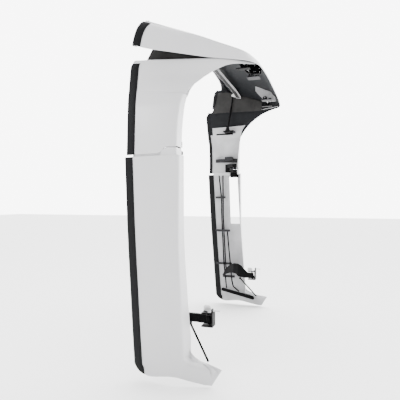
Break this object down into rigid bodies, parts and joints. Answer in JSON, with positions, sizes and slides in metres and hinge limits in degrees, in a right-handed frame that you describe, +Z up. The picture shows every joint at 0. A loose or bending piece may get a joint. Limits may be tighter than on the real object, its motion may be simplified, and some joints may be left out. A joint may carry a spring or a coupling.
{
  "type": "truck cab air deflector kit",
  "caption": "Aerodynamic fairing set for a truck cab: tilting roof flap, roof wings and side panels that swing outwards on inner hinge arms, with struts, frames and black edge trims.",
  "frame": {"origin": "middle of the four roof bolts, on the undersides of the two hinge pedestals that stand on the cab roof", "axes": "+X the vehicle's forward direction, +Y its left side, +Z up"},
  "size_m": [1.0923, 2.582, 3.047],
  "materials": {
    "gelcoat": "satin white gelcoat on glass-fibre",
    "bare_moulding": "unpainted moulding",
    "edge_rubber": "matt black",
    "black_steel": "black coat",
    "grey_steel": "grey coat",
    "light_casting": "as cast",
    "bright_steel": "zinc plated"
  },
  "bodies": {
    "mounting_side": {"left_end_block": "black_steel", "left_hinge_inner_foot": "grey_steel", "left_hinge_pedestal": "black_steel", "left_hinge_shaft": "bright_steel", "left_roof_wing": "gelcoat", "left_strut_foot": "black_steel", "left_upper_panel": "gelcoat", "left_upper_pivot": "black_steel", "left_upper_rail": "grey_steel", "left_upper_trim": "edge_rubber", "right_end_block": "black_steel", "right_hinge_inner_foot": "grey_steel", "right_hinge_pedestal": "black_steel", "right_hinge_shaft": "bright_steel", "right_roof_wing": "gelcoat", "right_strut_foot": "black_steel", "right_upper_panel": "gelcoat", "right_upper_pivot": "black_steel", "right_upper_rail": "grey_steel", "right_upper_trim": "edge_rubber"},
    "flap": {"flap_channel": "gelcoat", "flap_edge_strip": "edge_rubber", "flap_shell": "gelcoat", "hinge_screws": "bright_steel", "left_flap_fin_trim": "edge_rubber", "left_flap_inner_wall": "bare_moulding", "left_hinge_arm": "light_casting", "left_hinge_plate": "black_steel", "right_flap_fin_trim": "edge_rubber", "right_flap_inner_wall": "bare_moulding", "right_hinge_arm": "black_steel", "right_hinge_plate": "black_steel"},
    "right_strut_cylinder": {"right_strut_tube": "black_steel"},
    "right_strut_piston": {"right_strut_rod": "black_steel"},
    "right_swing_panel": {"right_brace_tube": "black_steel", "right_foot_bar": "black_steel", "right_front_tube": "black_steel", "right_lower_panel": "gelcoat", "right_lower_trim": "edge_rubber", "right_rear_tube": "black_steel", "right_stay_rod": "black_steel", "right_swing_arm": "black_steel", "right_swing_hinge_arm": "black_steel", "right_tube_brackets": "grey_steel"},
    "right_lever": {"right_latch_lever": "bright_steel"},
    "right_latch_pin": {"right_lock_pin": "bright_steel"},
    "left_strut_cylinder": {"left_strut_tube": "black_steel"},
    "left_strut_piston": {"left_strut_rod": "black_steel"},
    "left_swing_panel": {"left_brace_tube": "black_steel", "left_foot_bar": "black_steel", "left_front_tube": "black_steel", "left_lower_panel": "gelcoat", "left_lower_trim": "edge_rubber", "left_rear_tube": "black_steel", "left_stay_rod": "black_steel", "left_swing_arm": "black_steel", "left_swing_hinge_arm": "black_steel", "left_tube_brackets": "grey_steel"},
    "left_lever": {"left_latch_lever": "bright_steel"},
    "left_latch_pin": {"left_lock_pin": "bright_steel"}
  },
  "joints": [
    {"name": "flap_tilt", "type": "hinge", "parent": "mounting_side", "child": "flap", "pos_m": [0.015, 0, 0.038], "axis": [0, 1, 0], "range_deg": [-3, 4]},
    {"name": "right_strut_swing", "type": "hinge", "parent": "mounting_side", "child": "right_strut_cylinder", "pos_m": [-0.562, -1, -0.194], "axis": [0, 1, 0], "range_deg": [-0.82, 1.08]},
    {"name": "right_strut_slide", "type": "slide", "parent": "right_strut_cylinder", "child": "right_strut_piston", "axis": [0.1607, 0, 0.987], "range_m": [-0.028, 0.0373]},
    {"name": "right_panel_swing", "type": "hinge", "parent": "mounting_side", "child": "right_swing_panel", "pos_m": [-0.236, -1.03, -2.172], "axis": [-0.1698, -0.0374, 0.9848], "range_deg": [0, 35]},
    {"name": "right_lever_turn", "type": "hinge", "parent": "mounting_side", "child": "right_lever", "pos_m": [-0.226, -1.052, -2.104], "axis": [0, 0, 1], "range_deg": [0, 90]},
    {"name": "right_pin_slide", "type": "slide", "parent": "mounting_side", "child": "right_latch_pin", "axis": [1, 0, 0], "range_m": [-0.0201, 0]},
    {"name": "left_strut_swing", "type": "hinge", "parent": "mounting_side", "child": "left_strut_cylinder", "pos_m": [-0.562, 1, -0.194], "axis": [0, 1, 0], "range_deg": [-0.82, 1.08]},
    {"name": "left_strut_slide", "type": "slide", "parent": "left_strut_cylinder", "child": "left_strut_piston", "axis": [0.1607, 0, 0.987], "range_m": [-0.028, 0.0373]},
    {"name": "left_panel_swing", "type": "hinge", "parent": "mounting_side", "child": "left_swing_panel", "pos_m": [-0.236, 1.03, -2.172], "axis": [0.1698, -0.0374, -0.9848], "range_deg": [0, 35]},
    {"name": "left_lever_turn", "type": "hinge", "parent": "mounting_side", "child": "left_lever", "pos_m": [-0.226, 1.052, -2.104], "axis": [0, 0, -1], "range_deg": [0, 90]},
    {"name": "left_pin_slide", "type": "slide", "parent": "mounting_side", "child": "left_latch_pin", "axis": [1, 0, 0], "range_m": [-0.0201, 0]}
  ],
  "couplings": [
    {"joint": "right_strut_swing", "follows": "flap_tilt", "ratio": 0.2653},
    {"joint": "right_strut_slide", "follows": "flap_tilt", "m_per_rad": 0.5313},
    {"joint": "right_pin_slide", "follows": "right_lever_turn", "m_per_rad": -0.0127},
    {"joint": "left_strut_swing", "follows": "flap_tilt", "ratio": 0.2653},
    {"joint": "left_strut_slide", "follows": "flap_tilt", "m_per_rad": 0.5313},
    {"joint": "left_pin_slide", "follows": "left_lever_turn", "m_per_rad": -0.0127}
  ]
}
